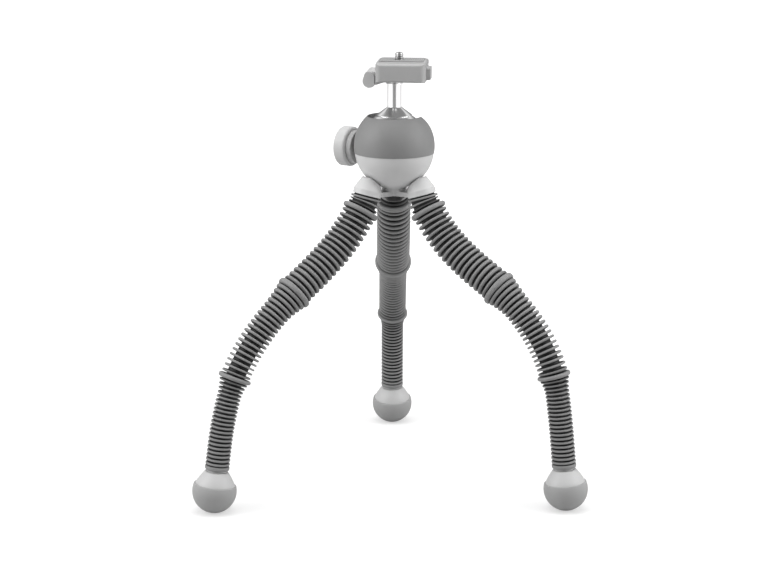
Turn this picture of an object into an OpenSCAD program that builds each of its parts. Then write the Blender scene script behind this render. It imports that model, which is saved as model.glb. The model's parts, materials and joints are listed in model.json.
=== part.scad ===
/* [Stance] */
// Height of the ball's centre above the floor
ball_z = 258.4; // [245:0.2:272]
// Direction of the left leg, seen from above
left_azimuth = 210.6; // [205:0.1:215]
// Turn of the clamp on its stem, seen from above
clamp_yaw = -5.5; // [-60:0.5:60]
// Direction in which the stem drops into its notch
notch_azimuth = 30; // [10:1:50]
// Direction in which the locking knob points
knob_azimuth = 150; // [140:1:170]

/* [Leg links] */
// Joint spacing inside the upper sleeve
upper_link = 28.5; // [27:0.5:31]
// Joint spacing inside the middle sleeve
middle_link = 26; // [24.5:0.5:29]
// Length of the link below the second collar
lower_link = 34; // [31:0.5:38]
// From the ankle joint to the centre of the foot
foot_link = 50; // [47:0.5:56]
// From the shoulder's face to the first ball
stud_reach = 7; // [6.8:0.1:8.4]
// Radius of the balls inside the upper sleeve
upper_ball_r = 4.6; // [4.2:0.1:4.8]
// Radius of the balls inside the middle sleeve
middle_ball_r = 3.4; // [3.1:0.1:3.6]
// Radius of the balls inside the lower sleeve
lower_ball_r = 2.9; // [2.7:0.1:3.1]
// Wall of a link's socket
socket_wall = 1.2; // [1:0.1:1.3]
// Running gap between a ball and its socket
socket_gap = 0.1; // [0.05:0.05:0.2]
// Farthest bend of one joint from straight
bend_limit = 26; // [22:1:27]

/* [Sleeves] */
// Wall of a sleeve under its grooves
sleeve_wall = 0.9; // [0.7:0.1:1]
// Diameter of the upper sleeve's ribs
upper_rib_d = 25; // [23:0.1:27]
// Diameter of the upper sleeve's grooves
upper_groove_d = 18.3; // [18:0.1:19.4]
// Number of the upper sleeve's thick ribs
upper_ribs = 17; // [12:1:20]
// Diameter of the thin ribs under the shoulder
cuff_rib_d = 22.5; // [20.4:0.1:24]
// Length of the thin ribbed cuff under the shoulder
cuff_len = 11; // [9:0.5:14]
// Diameter of the ring under the cuff
cuff_ring_d = 27.8; // [26:0.1:29]
// Diameter of the collar between upper and middle sleeve
first_collar_d = 28; // [26:0.1:30]
// Diameter of the middle sleeve's fins
middle_rib_d = 21; // [18:0.1:23]
// Diameter of the middle sleeve's grooves
middle_groove_d = 14.4; // [14.2:0.1:15.6]
// Number of the middle sleeve's fins
middle_ribs = 19; // [14:1:22]
// Diameter of the collar between middle and lower sleeve
second_collar_d = 24; // [22:0.1:26]
// Diameter of the lower sleeve's ribs
lower_rib_d = 17; // [15:0.1:19]
// Diameter of the lower sleeve's grooves
lower_groove_d = 13; // [12.8:0.1:14]
// Number of the lower sleeve's ribs
lower_ribs = 20; // [14:1:24]
// Length of a collar
collar_len = 5; // [4:0.2:7]

/* [Feet] */
// Radius of the round foot
foot_r = 16.3; // [15:0.1:18]
// How far the foot's contact patch is flattened
foot_flat = 0.5; // [0.3:0.1:1]
// Height of the cap's seam above the foot's centre
cap_seam = 4.4; // [3:0.1:6]
// Step from the rubber in to the cap at the seam
cap_step = 0.8; // [0.4:0.1:1.4]
// Height of the cap's cone above the foot's centre
cap_top = 13.5; // [12:0.1:14.5]
// Diameter of the cap's neck, under the sleeve
cap_neck_d = 15.4; // [14:0.1:17]
// Height of the sleeve's end above the foot's centre
ankle_h = 16; // [15.2:0.1:18]

/* [Hub] */
// Diameter of a shoulder
shoulder_d = 21.2; // [20.8:0.1:22.6]
// Height of a shoulder's straight rim
shoulder_rim = 4; // [3:0.1:5]
// Slope of a shoulder's cone above its rim, from its axis
shoulder_cone = 24; // [18:0.5:26]
// Lean of a shoulder from upright
shoulder_tilt = 17; // [14:0.5:20]
// From the housing's radius in to the centre of a shoulder's face
shoulder_inset = 6.3; // [5:0.1:7]
// From the hub's top down to the centre of a shoulder's face
shoulder_sink = 1.7; // [1.2:0.1:2.2]
// Height of the shoulders' flat tops above their faces
shoulder_h = 13.6; // [12:0.1:14.2]
// Gap between the bowl and the shoulders round it
bowl_gap = 1.2; // [0.8:0.1:1.6]
// Width of an arm of the hub
arm_w = 12; // [10:0.1:13]
// Thickness of the hub's arms
arm_t = 3.4; // [3:0.1:3.8]
// Diameter of the stud that carries the head
head_stud_d = 6; // [5:0.1:8]

/* [Housing] */
// Radius of the upper housing
housing_r = 30; // [29.4:0.1:31]
// Wall of the upper housing
housing_wall = 3.2; // [2.9:0.1:3.6]
// From the ball's centre down to the housing's seam
seam_drop = 5; // [4.4:0.1:6]
// Diameter of the round opening at the top
opening_d = 40; // [38.6:0.1:42]
// Step from the housing in to the bowl at the seam
bowl_step = 0.7; // [0.4:0.1:1]
// Depth of the bowl below the ball
bowl_depth = 6; // [5.4:0.1:7]
// Diameter of the flat under the bowl
boss_d = 18.4; // [17:0.1:20]
// Height of the lip that joins the two halves
lip_h = 3.5; // [2.5:0.1:4.5]
// Thickness of the lip
lip_t = 0.8; // [0.6:0.1:1]

/* [Ball and stem] */
// Gap between the ball and the upper housing
ball_room = 0.8; // [0.6:0.05:1]
// Diameter of the cone's rim
cone_rim_d = 26.4; // [25:0.1:27]
// Slope of the cone
cone_slope = 37; // [33:0.5:40]
// Diameter of the stem
stem_d = 10.4; // [9.4:0.1:11.4]
// Height of the stem's end above the ball's centre
stem_top = 49; // [48:0.1:50]
// Diameter of the flange round the stem
flange_d = 12.1; // [11.4:0.1:14]
// From the flange's underside to the stem's end
neck_h = 3.2; // [2.4:0.1:4]
// Farthest tilt of the stem into the notch
drop_tilt = 70; // [60:1:72]
// Diameter of the core taken out of the ball from below
ball_core_d = 30; // [20:0.5:32]

/* [Knob] */
// From the ball's centre down to the knob's axis
knob_drop = 3.4; // [2.6:0.1:3.8]
// Diameter of the knob's drum
knob_d = 29.8; // [27:0.1:32]
// Length of the knob's drum
knob_len = 10; // [8:0.1:13]
// Rounding of the drum's edges
knob_round = 2; // [1:0.1:3]
// Diameter of the knob's inner ring
ring_d = 25; // [22:0.1:26.6]
// Length of the knob's inner ring
ring_len = 4.4; // [3.4:0.1:6]
// Gap between the ring and the housing
ring_gap = 0.6; // [0.4:0.1:1]
// Diameter of the knob's screw
knob_screw_d = 6; // [5:0.1:7]
// Diameter of the brake shoe
shoe_d = 7; // [6.4:0.1:7.4]
// Travel of the brake shoe
shoe_travel = 0.6; // [0.4:0.05:0.8]

/* [Clamp] */
// Width of the clamp, from the lever's end to the button's
clamp_w = 36.5; // [35:0.1:40]
// Depth of the clamp, front to back
clamp_d = 38; // [36:0.1:42]
// Height of the clamp from its underside to the plate's seat
clamp_h = 11.1; // [10.8:0.1:13]
// Height of the jaws above the plate's seat
jaw_h = 2.3; // [1.8:0.1:2.8]
// From the stem's axis to the clamp's lever end
lever_end = 12.5; // [12:0.1:14]
// Rounding of the clamp's upright edges
clamp_round = 4; // [2:0.1:5]
// Rounding of the clamp's bottom and jaw edges
edge_round = 1.6; // [0.8:0.1:2]
// Diameter of the pivot between stem and clamp
pivot_d = 6; // [5:0.1:7]
// Diameter of the lever's pin
lever_pin_d = 3; // [2.4:0.1:3.4]
// Width of the lever's paddle
paddle_w = 30; // [26:0.2:34]
// Width of the lever's root in the clamp
lever_root_w = 19.8; // [16:0.2:22]
// Radius of the lever's barrel round its pin
barrel_r = 3.2; // [2.8:0.1:3.4]
// Width of the release button
button_w = 15; // [12:0.1:17]
// Height of the release button
button_h = 9.1; // [8:0.1:9.3]
// How far the release button stands out
button_out = 3; // [2.4:0.1:4]
// Travel of the release button
button_travel = 2; // [1.5:0.1:2.4]

/* [Plate and screw] */
// Thickness of the quick release plate
plate_t = 3.2; // [2.9:0.1:4]
// Width of the plate at the foot of its dovetail
plate_w = 31; // [29:0.1:32]
// Lean of the dovetail's flanks from upright
dovetail = 30; // [20:1:35]
// Thickness of the plate's grip pad
pad_t = 0.6; // [0.4:0.1:1]
// Margin of the pad inside the plate's top
pad_margin = 1.5; // [1:0.1:3]
// Diameter of the camera screw's thread
thread_d = 6.35; // [6:0.05:9.525]
// How far the camera screw stands out of the pad
screw_proud = 5.4; // [4:0.1:7]
// From the stem's axis to the camera screw
screw_offset = 3.6; // [2:0.1:6]
// Diameter of the camera screw's head
screw_head_d = 11.6; // [11:0.1:13]

/* [Hidden] */
$fn = 64;
// Gap where two seated pieces meet, and of a shaft in its hole
seat = 0.1;
shaft_gap = 0.05;
slide_gap = 0.2;

function cut_r(r, h) = sqrt(r * r - h * h);

// The ball's room in the housing, and the bowl and the hub under it
inner_r = housing_r - housing_wall;
ball_r = inner_r - ball_room;
liner_in = ball_r + socket_gap;
liner_out = inner_r + lip_t;
cavity_r = liner_out + seat;
lip_bottom = -seam_drop - lip_h;
cavity_floor = ball_r + ball_room;
notch_half = cone_rim_d / 2 + slide_gap;
boss_h = 1.2;
boss_root = 6.8;
bowl_r = housing_r - bowl_step;
bowl_bottom = -ball_r - bowl_depth;
hub_top = bowl_bottom - boss_h - seat;
hub_bottom = hub_top - arm_t;
// The bowl is part of a sphere through its rim and its lowest point
bowl_h = -bowl_bottom - seam_drop;
bowl_centre = (2 * seam_drop + bowl_h - bowl_r * bowl_r / bowl_h) / 2;
bowl_sphere_r = seam_drop + bowl_h - bowl_centre;
shoulder_reach = housing_r - shoulder_inset;
shoulder_drop = shoulder_sink - hub_top;
shoulder_top = shoulder_drop - shoulder_h;

leg_names = ["left", "right", "rear"];
leg_azimuth = [for (k = [0:2]) left_azimuth + 120 * k];
// Bend of each leg at its second to eighth joint, as posed, positive outwards
leg_bend = [
    [13, 6, -4, -8, -10, -15, -8],
    [16, 8, -9, -12, -13, -16, -3],
    [14, 6, 0, -4, -7, -21, -9]
];
link_len = [
    upper_link, upper_link, upper_link,
    middle_link, middle_link, middle_link,
    lower_link, foot_link
];
links = len(link_len);
ball_r_at = [
    upper_ball_r, upper_ball_r, upper_ball_r,
    middle_ball_r, middle_ball_r, middle_ball_r,
    lower_ball_r, lower_ball_r
];
// Polar angle of a socket's mouth, from the neck of the ball in it
mouth = 55;
bend_margin = 2;

function total(v, n) = n <= 0 ? 0 : v[n - 1] + total(v, n - 1);
function swing(a) = [sin(a), -cos(a)];
function socket_r(i) = ball_r_at[i] + socket_gap + socket_wall;
function neck_r(i) = (ball_r_at[i] + socket_gap) * sin(mouth - bend_limit - bend_margin);

// The legs: every joint lies in the leg's upright plane, as [distance from the axis, height]
foot_z = foot_r - foot_flat;
shoulder_face = [shoulder_reach, ball_z - shoulder_drop];
first_joint = shoulder_face + stud_reach * swing(shoulder_tilt);

function leg_sum(leg, i) =
    i < 0 ? [0, 0] : leg_sum(leg, i - 1) + link_len[i] * swing(total(leg_bend[leg], i));
function first_tilt(leg) =
    let (v = leg_sum(leg, links - 1))
    acos((first_joint[1] - foot_z) / norm(v)) - atan2(v[0], -v[1]);
link_tilt = [
    for (leg = [0:2])
        [for (i = [0:links - 1]) first_tilt(leg) + total(leg_bend[leg], i)]
];
function joint_at(leg, i) =
    i == 0 ? first_joint : joint_at(leg, i - 1) + link_len[i - 1] * swing(link_tilt[leg][i - 1]);
leg_joint = [for (leg = [0:2]) [for (i = [0:links]) joint_at(leg, i)]];

function turn(az, p) = [p[0] * cos(az), p[0] * sin(az), p[1]];
feet = [for (leg = [0:2]) turn(leg_azimuth[leg], leg_joint[leg][links])];
feet_x = [for (f = feet) f[0]];
feet_y = [for (f = feet) f[1]];
// The model's origin is on the floor, under the middle of the three feet's box
origin_shift = [-(min(feet_x) + max(feet_x)) / 2, -(min(feet_y) + max(feet_y)) / 2, 0];

// The sleeves follow one smooth centreline that touches every link at its middle
function ankle(leg) = leg_joint[leg][links] - ankle_h * swing(link_tilt[leg][links - 1]);
leg_path = [
    for (leg = [0:2])
        concat([shoulder_face], [for (i = [0:links - 1]) leg_joint[leg][i]], [ankle(leg)])
];
span = concat([stud_reach], [for (i = [0:links - 2]) link_len[i]], [foot_link - ankle_h]);
joint_s = [for (i = [0:links]) total(span, i)];
mid_s = [for (i = [0:links]) joint_s[i] + span[i] / 2];
sleeve_end = total(span, links + 1);

function path_turn(s) = len([for (m = mid_s) if (s > m) 1]);
function path_blend(k, s) =
    let (a = span[k - 1] / 2, b = span[k] / 2, q = s - mid_s[k - 1])
    q / (a + sqrt(a * a + (b - a) * q));
// Centre and lean of the centreline at length s from the shoulder
function centreline(leg, s) =
    let (p = leg_path[leg], k = path_turn(s))
    k == 0 ? let (d = (p[1] - p[0]) / span[0]) [p[0] + s * d, d]
    : k > links ? let (d = (p[k] - p[k - 1]) / span[k - 1]) [p[k - 1] + (s - joint_s[k - 1]) * d, d]
    : let (
        t = path_blend(k, s),
        a = (p[k - 1] + p[k]) / 2,
        b = (p[k] + p[k + 1]) / 2,
        d = (1 - t) * (p[k] - a) + t * (b - p[k])
    )
    [(1 - t) * (1 - t) * a + 2 * t * (1 - t) * p[k] + t * t * b, d / norm(d)];

ring_sides = 8;
function ring(leg, s, r) =
    let (c = centreline(leg, s), az = leg_azimuth[leg])
    [
        for (j = [0:ring_sides - 1])
            let (
                a = (j + 0.5) * 360 / ring_sides,
                across = r * cos(a),
                side = r * sin(a),
                out = c[0][0] - across * c[1][1]
            )
            [
                out * cos(az) - side * sin(az),
                out * sin(az) + side * cos(az),
                c[0][1] + across * c[1][0]
            ]
    ];

// Rows of [length along the leg, radius], from a sleeve's top end down its outside and up its bore
first_collar = [joint_s[4] - collar_len / 2, joint_s[4] + collar_len / 2];
second_collar = [joint_s[7] - collar_len / 2, joint_s[7] + collar_len / 2];
cuff_ring_len = 3.6;
end_ring_len = 3;
cuff_ribs = 2;
upper_groove_r = upper_groove_d / 2;
middle_groove_r = middle_groove_d / 2;
lower_groove_r = lower_groove_d / 2;
upper_bore = upper_groove_r - sleeve_wall;
middle_bore = middle_groove_r - sleeve_wall;
lower_bore = lower_groove_r - sleeve_wall;
flange_out = 1.2;
lip_ease = 0.3;
lip_len = 1;
bore_step = 14;

function thick_ribs(s0, s1, n, crest, groove) =
    let (p = (s1 - s0) / n)
    [
        for (i = [0:n - 1])
            each [
                [s0 + (i + 0.3) * p, crest],
                [s0 + (i + 0.7) * p, crest],
                [s0 + (i + 1) * p, groove]
            ]
    ];
function thin_ribs(s0, s1, n, crest, groove) =
    let (p = (s1 - s0) / n)
    [for (i = [0:n - 1]) each [[s0 + (i + 0.5) * p, crest], [s0 + (i + 1) * p, groove]]];
function collar_rows(c, r, ease) =
    [[c[0] + ease, r - ease], [c[0] + 2 * ease, r], [c[1] - ease, r], [c[1], r - ease]];
function bore_rows(s1, s0, r) =
    let (n = ceil((s1 - s0) / bore_step))
    [for (i = [0:n]) [s1 + (s0 - s1) * i / n, r]];

collar_ease = 0.5;
function upper_rows() =
    let (ring_end = cuff_len + cuff_ring_len)
    concat(
        [[seat, shoulder_d / 2 - collar_ease]],
        thin_ribs(seat, cuff_len, cuff_ribs, cuff_rib_d / 2, upper_groove_r),
        thick_ribs(cuff_len, ring_end, 1, cuff_ring_d / 2, upper_groove_r),
        thick_ribs(ring_end, first_collar[0], upper_ribs, upper_rib_d / 2, upper_groove_r),
        collar_rows(first_collar, first_collar_d / 2, collar_ease),
        [[first_collar[1], middle_bore + lip_ease], [first_collar[1] - lip_len, middle_bore + lip_ease]],
        bore_rows(first_collar[0], seat, upper_bore)
    );
function middle_rows() =
    let (top = first_collar[1] + seat)
    concat(
        [[top, middle_groove_r + flange_out]],
        thin_ribs(top, second_collar[0], middle_ribs, middle_rib_d / 2, middle_groove_r),
        collar_rows(second_collar, second_collar_d / 2, collar_ease),
        [[second_collar[1], lower_bore + lip_ease], [second_collar[1] - lip_len, lower_bore + lip_ease]],
        bore_rows(second_collar[0], top, middle_bore)
    );
function lower_rows() =
    let (top = second_collar[1] + seat, bottom = sleeve_end - end_ring_len)
    concat(
        [[top, lower_groove_r + flange_out]],
        thin_ribs(top, bottom, lower_ribs, lower_rib_d / 2, lower_groove_r),
        [[bottom + collar_ease, lower_rib_d / 2], [sleeve_end - seat, lower_rib_d / 2]],
        bore_rows(sleeve_end - seat, top, lower_bore)
    );

module placed() {
    translate(origin_shift) children();
}

module on_link(leg, i) {
    p = leg_joint[leg][i];
    placed() rotate([0, 0, leg_azimuth[leg]]) translate([p[0], 0, p[1]])
        rotate([0, -link_tilt[leg][min(i, links - 1)], 0]) children();
}

module sleeve(leg, rows) {
    n = len(rows);
    faces = [
        for (i = [0:n - 1], j = [0:ring_sides - 1])
            let (
                here = i * ring_sides,
                next = ((i + 1) % n) * ring_sides,
                m = (j + 1) % ring_sides
            )
            each [[here + j, here + m, next + m], [here + j, next + m, next + j]]
    ];
    placed() polyhedron([for (row = rows) each ring(leg, row[0], row[1])], faces);
}

module upper_sleeve(leg) {
    color("dimgray") sleeve(leg, upper_rows());
}

module middle_sleeve(leg) {
    color("dimgray") sleeve(leg, middle_rows());
}

module lower_sleeve(leg) {
    color("dimgray") sleeve(leg, lower_rows());
}

// Half of a disc, as a revolve's profile
module half_disc(r) {
    intersection() {
        circle(r);
        translate([0, -r]) square([r, 2 * r]);
    }
}

// The inner chain: a socket above, a shank, and a ball or the foot's peg below
shank_share = 0.62;
neck_ease = 0.5;
peg_d = 6;
peg_flange = 1.4;
peg_end = cap_seam + lip_len + seat - foot_link;
module link_socket(i) {
    r = socket_r(i);
    rotate_extrude() intersection() {
        circle(r);
        translate([0, -r]) square([r, r + ball_r_at[i] * cos(mouth)]);
    }
}

module link_shank(i) {
    body = shank_share * socket_r(i);
    neck = neck_r(i + 1);
    neck_len = socket_r(i + 1) + neck_ease;
    low = -link_len[i];
    rotate_extrude() polygon([
        [0, -ball_r_at[i]], [body, -ball_r_at[i]],
        [body, low + neck_len + body - neck], [neck, low + neck_len],
        [neck, low], [0, low]
    ]);
    translate([0, 0, low]) sphere(ball_r_at[i + 1]);
}

module foot_shank(i) {
    r = peg_d / 2;
    seat_at = ankle_h - foot_link + seat;
    rotate_extrude() polygon([
        [0, -ball_r_at[i]], [r, -ball_r_at[i]],
        [r, seat_at + peg_flange], [r + peg_flange, seat_at + peg_flange],
        [r + peg_flange, seat_at], [r, seat_at], [r, peg_end], [0, peg_end]
    ]);
}

module leg_link(leg, i) {
    color("whitesmoke") on_link(leg, i) difference() {
        union() {
            link_socket(i);
            if (i < links - 1) link_shank(i);
            else foot_shank(i);
        }
        sphere(ball_r_at[i] + socket_gap);
    }
}

spigot_r = 8;
spigot_h = 5;
cap_base_r = cut_r(foot_r, cap_seam) - cap_step;
cap_neck_step = 0.7;
module foot_cap(leg) {
    color("gainsboro") on_link(leg, links) difference() {
        rotate_extrude() polygon([
            [0, cap_seam - spigot_h], [spigot_r, cap_seam - spigot_h], [spigot_r, cap_seam],
            [cap_base_r, cap_seam], [cap_base_r, cap_seam + cap_step],
            [cap_neck_d / 2, cap_top], [cap_neck_d / 2 - cap_neck_step, cap_top],
            [cap_neck_d / 2 - cap_neck_step, ankle_h], [0, ankle_h]
        ]);
        translate([0, 0, cap_seam + lip_len]) cylinder(r = peg_d / 2 + shaft_gap, h = ankle_h);
    }
}

module foot_pad(leg) {
    color("darkgray") difference() {
        on_link(leg, links) difference() {
            sphere(foot_r);
            translate([-foot_r, -foot_r, cap_seam]) cube(2 * foot_r);
            translate([0, 0, cap_seam - spigot_h - seat]) cylinder(r = spigot_r + shaft_gap, h = foot_r);
        }
        placed() translate(feet[leg] - [foot_r, foot_r, foot_z + foot_r])
            cube([2 * foot_r, 2 * foot_r, foot_r]);
    }
}

// The hub: three leaning shoulders on a thin spider, hollowed round the bowl
module at_ball() {
    placed() translate([0, 0, ball_z]) children();
}

module on_shoulder(leg) {
    rotate([0, 0, leg_azimuth[leg]]) translate([shoulder_reach, 0, -shoulder_drop])
        rotate([0, -shoulder_tilt, 0]) children();
}

arm_root = 4;
arm_clear = 0.3;
arm_end = shoulder_reach - (arm_clear - hub_bottom - shoulder_drop) / tan(shoulder_tilt);
shoulder_len = shoulder_h / cos(shoulder_tilt) + shoulder_rim;
hub_core_r = norm([arm_root, arm_w / 2]) + 3 * seat;
stud_shank_d = 6;
stud_shank_len = 6;
stud_flange_r = 5;
stud_flange_t = 1;
module shoulder(leg) {
    difference() {
        intersection() {
            on_shoulder(leg) rotate_extrude() polygon([
                [0, 0], [shoulder_d / 2, 0], [shoulder_d / 2, shoulder_rim],
                [shoulder_d / 2 - (shoulder_len - shoulder_rim) * tan(shoulder_cone), shoulder_len],
                [0, shoulder_len]
            ]);
            translate([0, 0, -shoulder_top - 2 * shoulder_drop])
                cylinder(r = 2 * shoulder_reach, h = 2 * shoulder_drop);
        }
        translate([0, 0, -bowl_centre]) sphere(bowl_sphere_r + bowl_gap);
        on_shoulder(leg) translate([0, 0, -seat])
            cylinder(r = stud_shank_d / 2 + shaft_gap, h = stud_shank_len + 2 * seat);
    }
}

module hub() {
    color("gainsboro") at_ball() difference() {
        union() {
            for (leg = [0:2]) {
                shoulder(leg);
                rotate([0, 0, leg_azimuth[leg]]) translate([arm_root, -arm_w / 2, hub_bottom])
                    cube([arm_end - arm_root, arm_w, arm_t]);
            }
            translate([0, 0, hub_bottom]) cylinder(r = hub_core_r, h = arm_t);
        }
        translate([0, 0, hub_bottom - seat])
            cylinder(r = head_stud_d / 2 + shaft_gap, h = arm_t + 2 * seat);
    }
}

module shoulder_studs() {
    color("silver") at_ball() for (leg = [0:2]) on_shoulder(leg) {
        rotate_extrude() polygon([
            [0, stud_shank_len], [stud_shank_d / 2, stud_shank_len], [stud_shank_d / 2, -shaft_gap],
            [stud_flange_r, -shaft_gap], [stud_flange_r, -stud_flange_t],
            [neck_r(0), -stud_flange_t], [neck_r(0), -stud_reach], [0, -stud_reach]
        ]);
        translate([0, 0, -stud_reach]) sphere(ball_r_at[0]);
    }
}

head_stud_head_r = 5;
head_stud_head_h = 3;
head_stud_end = -cavity_floor;
module head_stud() {
    color("silver") at_ball() {
        translate([0, 0, hub_bottom]) cylinder(d = head_stud_d, h = head_stud_end - hub_bottom);
        translate([0, 0, hub_bottom - shaft_gap - head_stud_head_h])
            cylinder(r = head_stud_head_r, h = head_stud_head_h + shaft_gap);
    }
}

cover_wall = 1.3;
cover_floor = 1.4;
cover_bottom = hub_bottom - shaft_gap - head_stud_head_h - seat - cover_floor;
module hub_cover() {
    color("dimgray") at_ball() difference() {
        translate([0, 0, cover_bottom]) cylinder(d = boss_d, h = hub_top - cover_bottom);
        translate([0, 0, cover_bottom + cover_floor])
            cylinder(r = boss_d / 2 - cover_wall, h = shoulder_drop);
        for (leg = [0:2])
            rotate([0, 0, leg_azimuth[leg]]) translate([0, -arm_w / 2 - seat, hub_bottom - seat])
                cube([boss_d, arm_w + 2 * seat, arm_t + 2 * seat]);
    }
}

// The ball housing: an upper shell with its opening and drop notch, screwed into the bowl by a lip
module lower_bowl() {
    color("silver") at_ball() difference() {
        union() {
            intersection() {
                translate([0, 0, -bowl_centre]) sphere(bowl_sphere_r);
                translate([0, 0, bowl_bottom]) cylinder(r = housing_r, h = bowl_h);
            }
            translate([0, 0, bowl_bottom - boss_h]) cylinder(d = boss_d, h = boss_root);
        }
        intersection() {
            sphere(cavity_r);
            translate([0, 0, -cavity_floor]) cylinder(r = housing_r, h = cavity_floor);
        }
        translate([0, 0, lip_bottom - seat]) cylinder(r = liner_out + seat, h = housing_r);
        translate([0, 0, bowl_bottom - boss_h - seat])
            cylinder(r = head_stud_d / 2 + shaft_gap, h = bowl_h);
        knob_way();
    }
}

module socket_liner() {
    color("ivory") at_ball() rotate_extrude() difference() {
        intersection() {
            half_disc(liner_out);
            translate([head_stud_head_r + cover_wall, -cavity_floor + seat])
                square([liner_out, cavity_floor + lip_bottom - 3 * seat]);
        }
        half_disc(liner_in);
    }
}

module notch() {
    reach = 2 * housing_r;
    low = 90 - drop_tilt;
    rotate([0, 0, notch_azimuth]) {
        rotate([0, drop_tilt, 0]) cylinder(r = notch_half, h = reach);
        rotate([90, 0, 0]) linear_extrude(2 * notch_half, center = true)
            polygon([[0, 0], [reach * cos(low), reach * sin(low)], [reach * cos(low), reach], [0, reach]]);
    }
}

module along_knob(d) {
    rotate([0, 0, knob_azimuth]) translate([d, 0, -knob_drop]) rotate([0, 90, 0]) children();
}

shoe_rim = 2.5;
shoe_back = housing_r - shoe_rim;
pocket_end = shoe_back + shoe_travel + 2 * seat;
module knob_way() {
    along_knob(0) cylinder(r = knob_screw_d / 2 + shaft_gap, h = 2 * housing_r);
    along_knob(0) cylinder(r = shoe_d / 2 + seat, h = pocket_end);
}

module upper_housing() {
    color("gray") at_ball() difference() {
        rotate_extrude() difference() {
            union() {
                intersection() {
                    half_disc(housing_r);
                    translate([0, -seam_drop]) square([housing_r, 2 * housing_r]);
                }
                translate([0, lip_bottom]) square([liner_out, lip_h + seat]);
            }
            half_disc(inner_r);
            square([opening_d / 2, 2 * housing_r]);
        }
        notch();
        knob_way();
    }
}

// The ball and its stem: one casting, cored from below
cone_rim_r = cone_rim_d / 2;
cone_seat = cut_r(ball_r, cone_rim_r);
cone_edge = 0.6;
cone_top = cone_seat + 2 * cone_edge + (cone_rim_r - cone_edge - stem_d / 2) * tan(cone_slope);
flange_t = 1.2;
flange_low = stem_top - neck_h;
pivot_len = 5.5;
pivot_end = stem_top + pivot_len;
bolt_d = 4;
bolt_depth = 6;
core_top = 6;
module ball_stem() {
    color("silver") at_ball() rotate_extrude() difference() {
        union() {
            half_disc(ball_r);
            polygon([
                [0, 0], [cone_rim_r, cone_seat - cone_edge], [cone_rim_r, cone_seat + cone_edge],
                [cone_rim_r - cone_edge, cone_seat + 2 * cone_edge], [stem_d / 2, cone_top],
                [stem_d / 2, flange_low], [flange_d / 2, flange_low],
                [flange_d / 2, flange_low + flange_t], [stem_d / 2, flange_low + flange_t],
                [stem_d / 2, stem_top], [pivot_d / 2, stem_top], [pivot_d / 2, pivot_end], [0, pivot_end]
            ]);
        }
        translate([0, -ball_r]) square([ball_core_d / 2, ball_r + core_top]);
        translate([0, pivot_end - bolt_depth]) square([bolt_d / 2 + shaft_gap, bolt_depth]);
    }
}

module brake_shoe() {
    color("ivory") at_ball() difference() {
        along_knob(ball_r / 2) cylinder(d = shoe_d, h = shoe_back - ball_r / 2);
        sphere(ball_r + socket_gap, $fn = 200);
    }
}

// A disc with rounded rims, as a revolve's profile standing on its axis
module rounded_disc(r, h, round) {
    square([r - round, h]);
    translate([0, round]) square([r, h - 2 * round]);
    translate([r - round, round]) circle(round);
    translate([r - round, h - round]) circle(round);
}

ring_start = housing_r + ring_gap;
knob_start = ring_start + ring_len;
knob_cap = 3;
knob_bore = knob_len - knob_cap;
ring_round = 0.6;
module lock_knob() {
    color("lightgray") at_ball() along_knob(knob_start) difference() {
        rotate_extrude() rounded_disc(knob_d / 2, knob_len, knob_round);
        translate([0, 0, -seat]) cylinder(r = knob_screw_d / 2 + shaft_gap, h = knob_bore + seat);
    }
}

module knob_ring() {
    color("darkgray") at_ball() along_knob(ring_start) difference() {
        rotate_extrude() rounded_disc(ring_d / 2, ring_len - shaft_gap, ring_round);
        translate([0, 0, -seat]) cylinder(r = knob_screw_d / 2 + shaft_gap, h = ring_len + 2 * seat);
    }
}

module knob_screw() {
    start = shoe_back + shoe_travel + seat;
    color("silver") at_ball() along_knob(start)
        cylinder(d = knob_screw_d, h = knob_start + knob_bore - seat - start);
}

// The clamp: x runs from the lever's end to the button's, y from front to back
module at_clamp() {
    at_ball() rotate([0, 0, clamp_yaw]) children();
}

module rounded_rect(size, r) {
    translate([r, 0]) square([size[0] - 2 * r, size[1]]);
    translate([0, r]) square([size[0], size[1] - 2 * r]);
    for (x = [r, size[0] - r], y = [r, size[1] - r]) translate([x, y]) circle(r);
}

button_end = clamp_w - lever_end;
clamp_base = stem_top + seat;
plate_seat = clamp_base + clamp_h;
jaw_top = plate_seat + jaw_h;
bolt_ledge = pivot_end + seat;
bolt_head_d = 8.4;
bolt_head_h = 3;
lever_roof = 1.4;
lever_x = -lever_end + barrel_r - seat;
lever_z = plate_seat - barrel_r - lever_roof;
pin_over = 1;
pin_half = paddle_w / 2 + pin_over;
chin_h = 2.3;
chin_w = lever_end - stem_d / 2 - slide_gap;
button_rise = 0.8;
button_low = clamp_base + button_rise;
button_in = 4.5;
button_flange = 1;
button_flange_t = 1.5;
spring_room = 6;

module across(w) {
    rotate([90, 0, 0]) linear_extrude(w, center = true) children();
}

module clamp_block() {
    intersection() {
        translate([-lever_end, -clamp_d / 2, clamp_base])
            linear_extrude(jaw_top - clamp_base) rounded_rect([clamp_w, clamp_d], clamp_round);
        translate([-lever_end, 0, clamp_base]) rotate([90, 0, 90]) linear_extrude(clamp_w)
            translate([-clamp_d / 2, 0]) rounded_rect([clamp_d, jaw_top - clamp_base], edge_round);
    }
    across(clamp_d - 2 * clamp_round)
        polygon([
            [-lever_end, clamp_base + chin_h], [-lever_end, clamp_base - chin_h],
            [chin_w - lever_end, clamp_base], [chin_w - lever_end, clamp_base + chin_h]
        ]);
}

module plate_section(half, h, room) {
    polygon([
        [-half - room, -room / 2], [half + room, -room / 2],
        [half + room - h * tan(dovetail), h], [-half - room + h * tan(dovetail), h]
    ]);
}

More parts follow.
